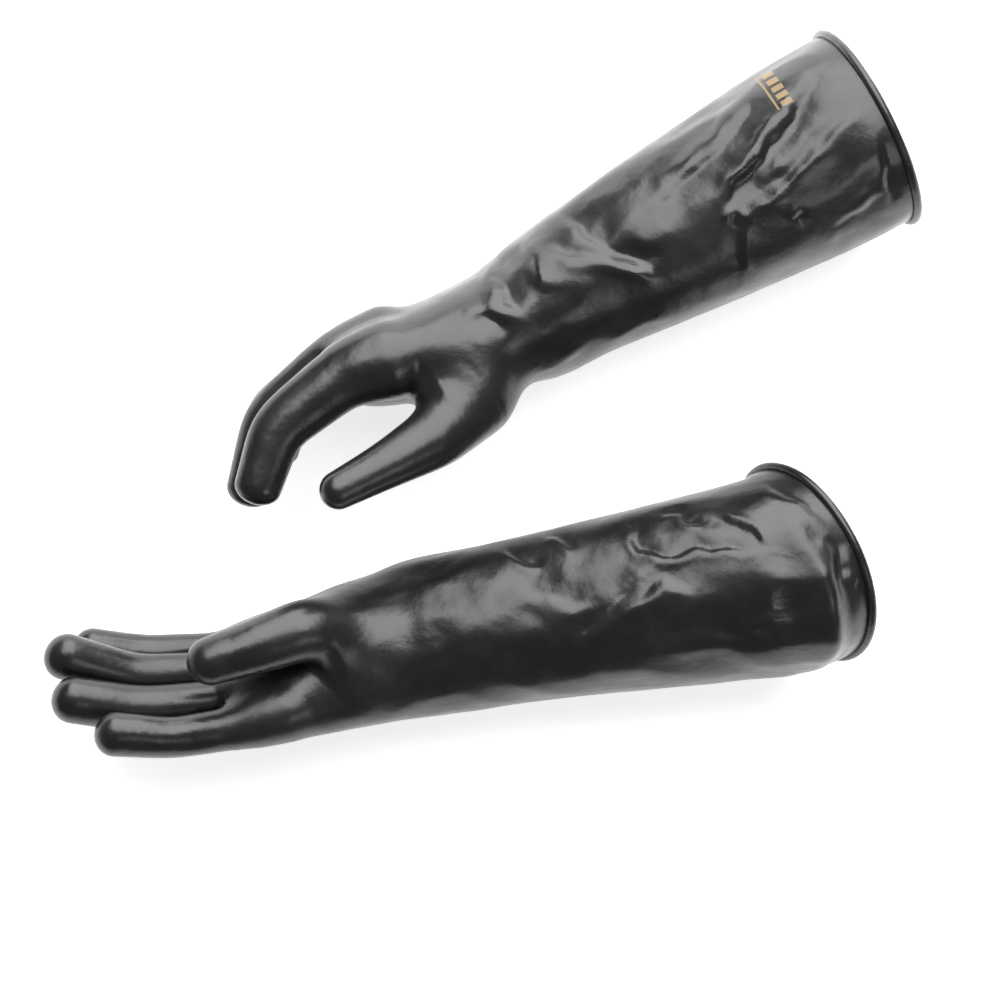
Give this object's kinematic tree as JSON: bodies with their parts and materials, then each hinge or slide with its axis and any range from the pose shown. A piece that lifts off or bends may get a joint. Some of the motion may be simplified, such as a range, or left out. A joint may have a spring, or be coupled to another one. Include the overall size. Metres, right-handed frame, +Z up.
{
  "type": "electrical insulating gloves",
  "caption": "Pair of long black rubber insulating gloves with rolled cuff beads, one lying palm up and one curled on its side; wrists, thumbs and fingers bend.",
  "frame": {"origin": "centre of the pair's footprint on the surface the gloves lie on", "axes": "+Z up from the resting surface, +X from the fingertips towards the cuffs, +Y from the open glove towards the curled one"},
  "size_m": [0.4857, 0.4041, 0.1267],
  "materials": {
    "skin": "semi-gloss dipped black rubber, finely dulled",
    "fold": "semi-gloss dipped black rubber where it bends",
    "bead": "rolled rubber bead, a little glossier"
  },
  "bodies": {
    "open_forearm": {"open_gauntlet": "skin", "open_cuff_bead": "bead"},
    "open_palm": {"open_hand": "skin", "open_wrist_fold": "fold", "open_thumb_root_fold": "fold", "open_index_knuckle_fold": "fold", "open_middle_knuckle_fold": "fold", "open_ring_knuckle_fold": "fold", "open_little_knuckle_fold": "fold"},
    "open_thumb_lower": {"open_thumb_base": "skin", "open_thumb_joint_fold": "fold"},
    "open_thumb_upper": {"open_thumb_tip": "skin"},
    "open_index_lower": {"open_index_base": "skin", "open_index_joint_fold": "fold"},
    "open_index_upper": {"open_index_tip": "skin"},
    "open_middle_lower": {"open_middle_base": "skin", "open_middle_joint_fold": "fold"},
    "open_middle_upper": {"open_middle_tip": "skin"},
    "open_ring_lower": {"open_ring_base": "skin", "open_ring_joint_fold": "fold"},
    "open_ring_upper": {"open_ring_tip": "skin"},
    "open_little_lower": {"open_little_base": "skin", "open_little_joint_fold": "fold"},
    "open_little_upper": {"open_little_tip": "skin"},
    "curled_forearm": {"curled_gauntlet": "skin", "curled_cuff_bead": "bead"},
    "curled_palm": {"curled_hand": "skin", "curled_wrist_fold": "fold", "curled_thumb_root_fold": "fold", "curled_index_knuckle_fold": "fold", "curled_middle_knuckle_fold": "fold", "curled_ring_knuckle_fold": "fold", "curled_little_knuckle_fold": "fold"},
    "curled_thumb_lower": {"curled_thumb_base": "skin", "curled_thumb_joint_fold": "fold"},
    "curled_thumb_upper": {"curled_thumb_tip": "skin"},
    "curled_index_lower": {"curled_index_base": "skin", "curled_index_joint_fold": "fold"},
    "curled_index_upper": {"curled_index_tip": "skin"},
    "curled_middle_lower": {"curled_middle_base": "skin", "curled_middle_joint_fold": "fold"},
    "curled_middle_upper": {"curled_middle_tip": "skin"},
    "curled_ring_lower": {"curled_ring_base": "skin", "curled_ring_joint_fold": "fold"},
    "curled_ring_upper": {"curled_ring_tip": "skin"},
    "curled_little_lower": {"curled_little_base": "skin", "curled_little_joint_fold": "fold"},
    "curled_little_upper": {"curled_little_tip": "skin"}
  },
  "joints": [
    {"name": "open_wrist", "type": "hinge", "parent": "open_forearm", "child": "open_palm", "pos_m": [-0.032, -0.136, 0.0454], "axis": [-0.2241, 0.8365, -0.5], "range_deg": [-1, 35], "stiffness_Nm_per_rad": 2, "deforming": ["open_wrist_fold"]},
    {"name": "open_thumb_root", "type": "hinge", "parent": "open_palm", "child": "open_thumb_lower", "pos_m": [-0.095, -0.1295, 0.088], "axis": [-0.1593, 0.5947, -0.788], "range_deg": [-6, 30], "stiffness_Nm_per_rad": 0.4, "deforming": ["open_thumb_root_fold"]},
    {"name": "open_thumb_joint", "type": "hinge", "parent": "open_thumb_lower", "child": "open_thumb_upper", "pos_m": [-0.122, -0.139, 0.093], "axis": [-0.1593, 0.5947, -0.788], "range_deg": [-12, 10], "stiffness_Nm_per_rad": 0.3, "deforming": ["open_thumb_joint_fold"]},
    {"name": "open_index_knuckle", "type": "hinge", "parent": "open_palm", "child": "open_index_lower", "pos_m": [-0.14423, -0.14217, 0.01585], "axis": [-0.1593, 0.5947, -0.788], "range_deg": [-11, 42], "stiffness_Nm_per_rad": 0.3, "deforming": ["open_index_knuckle_fold"]},
    {"name": "open_index_joint", "type": "hinge", "parent": "open_index_lower", "child": "open_index_upper", "pos_m": [-0.19062, -0.14728, 0.02137], "axis": [-0.1593, 0.5947, -0.788], "range_deg": [-18, 45], "stiffness_Nm_per_rad": 0.2, "deforming": ["open_index_joint_fold"]},
    {"name": "open_middle_knuckle", "type": "hinge", "parent": "open_palm", "child": "open_middle_lower", "pos_m": [-0.14024, -0.15704, 0.03555], "axis": [-0.1593, 0.5947, -0.788], "range_deg": [-18, 36], "stiffness_Nm_per_rad": 0.3, "deforming": ["open_middle_knuckle_fold"]},
    {"name": "open_middle_joint", "type": "hinge", "parent": "open_middle_lower", "child": "open_middle_upper", "pos_m": [-0.19325, -0.15763, 0.04582], "axis": [-0.1593, 0.5947, -0.788], "range_deg": [-22, 42], "stiffness_Nm_per_rad": 0.2, "deforming": ["open_middle_joint_fold"]},
    {"name": "open_ring_knuckle", "type": "hinge", "parent": "open_palm", "child": "open_ring_lower", "pos_m": [-0.13626, -0.1719, 0.05525], "axis": [-0.1593, 0.5947, -0.788], "range_deg": [-12, 24], "stiffness_Nm_per_rad": 0.3, "deforming": ["open_ring_knuckle_fold"]},
    {"name": "open_ring_joint", "type": "hinge", "parent": "open_ring_lower", "child": "open_ring_upper", "pos_m": [-0.18661, -0.17674, 0.06178], "axis": [-0.1593, 0.5947, -0.788], "range_deg": [-18, 45], "stiffness_Nm_per_rad": 0.2, "deforming": ["open_ring_joint_fold"]},
    {"name": "open_little_knuckle", "type": "hinge", "parent": "open_palm", "child": "open_little_lower", "pos_m": [-0.13228, -0.18677, 0.07495], "axis": [-0.1593, 0.5947, -0.788], "range_deg": [-10, 24], "stiffness_Nm_per_rad": 0.3, "deforming": ["open_little_knuckle_fold"]},
    {"name": "open_little_joint", "type": "hinge", "parent": "open_little_lower", "child": "open_little_upper", "pos_m": [-0.16977, -0.19143, 0.07901], "axis": [-0.1593, 0.5947, -0.788], "range_deg": [-15, 45], "stiffness_Nm_per_rad": 0.2, "deforming": ["open_little_joint_fold"]},
    {"name": "curled_wrist", "type": "hinge", "parent": "curled_forearm", "child": "curled_palm", "pos_m": [0.029, 0.047, 0.0541], "axis": [0, 0, 1], "range_deg": [-20, 8], "stiffness_Nm_per_rad": 2, "deforming": ["curled_wrist_fold"]},
    {"name": "curled_thumb_root", "type": "hinge", "parent": "curled_palm", "child": "curled_thumb_lower", "pos_m": [-0.0236, -0.0244, 0.096], "axis": [0, 0, 1], "range_deg": [-6, 25], "stiffness_Nm_per_rad": 0.4, "deforming": ["curled_thumb_root_fold"]},
    {"name": "curled_thumb_joint", "type": "hinge", "parent": "curled_thumb_lower", "child": "curled_thumb_upper", "pos_m": [-0.0486, -0.0389, 0.107], "axis": [0, 0, 1], "range_deg": [-22, 10], "stiffness_Nm_per_rad": 0.3, "deforming": ["curled_thumb_joint_fold"]},
    {"name": "curled_index_knuckle", "type": "hinge", "parent": "curled_palm", "child": "curled_index_lower", "pos_m": [-0.07447, 0.00933, 0.0916], "axis": [0, 0, 1], "range_deg": [-24, 30], "stiffness_Nm_per_rad": 0.3, "deforming": ["curled_index_knuckle_fold"]},
    {"name": "curled_index_joint", "type": "hinge", "parent": "curled_index_lower", "child": "curled_index_upper", "pos_m": [-0.1113, -0.01986, 0.0916], "axis": [0, 0, 1], "range_deg": [-28, 36], "stiffness_Nm_per_rad": 0.2, "deforming": ["curled_index_joint_fold"]},
    {"name": "curled_middle_knuckle", "type": "hinge", "parent": "curled_palm", "child": "curled_middle_lower", "pos_m": [-0.07746, 0.01888, 0.0666], "axis": [0, 0, 1], "range_deg": [-20, 34], "stiffness_Nm_per_rad": 0.3, "deforming": ["curled_middle_knuckle_fold"]},
    {"name": "curled_middle_joint", "type": "hinge", "parent": "curled_middle_lower", "child": "curled_middle_upper", "pos_m": [-0.11978, -0.01467, 0.0666], "axis": [0, 0, 1], "range_deg": [-30, 34], "stiffness_Nm_per_rad": 0.2, "deforming": ["curled_middle_joint_fold"]},
    {"name": "curled_ring_knuckle", "type": "hinge", "parent": "curled_palm", "child": "curled_ring_lower", "pos_m": [-0.07716, 0.01792, 0.0416], "axis": [0, 0, 1], "range_deg": [-22, 32], "stiffness_Nm_per_rad": 0.3, "deforming": ["curled_ring_knuckle_fold"]},
    {"name": "curled_ring_joint", "type": "hinge", "parent": "curled_ring_lower", "child": "curled_ring_upper", "pos_m": [-0.11657, -0.01445, 0.0416], "axis": [0, 0, 1], "range_deg": [-30, 34], "stiffness_Nm_per_rad": 0.2, "deforming": ["curled_ring_joint_fold"]},
    {"name": "curled_little_knuckle", "type": "hinge", "parent": "curled_palm", "child": "curled_little_lower", "pos_m": [-0.07507, 0.01124, 0.0166], "axis": [0, 0, 1], "range_deg": [-24, 30], "stiffness_Nm_per_rad": 0.3, "deforming": ["curled_little_knuckle_fold"]},
    {"name": "curled_little_joint", "type": "hinge", "parent": "curled_little_lower", "child": "curled_little_upper", "pos_m": [-0.10357, -0.01389, 0.0166], "axis": [0, 0, 1], "range_deg": [-28, 36], "stiffness_Nm_per_rad": 0.2, "deforming": ["curled_little_joint_fold"]},
    {"name": "curled_glove_lift", "type": "slide", "parent": "open_forearm", "child": "curled_forearm", "axis": [0, 0, 1], "range_m": [0, 0.2]}
  ]
}
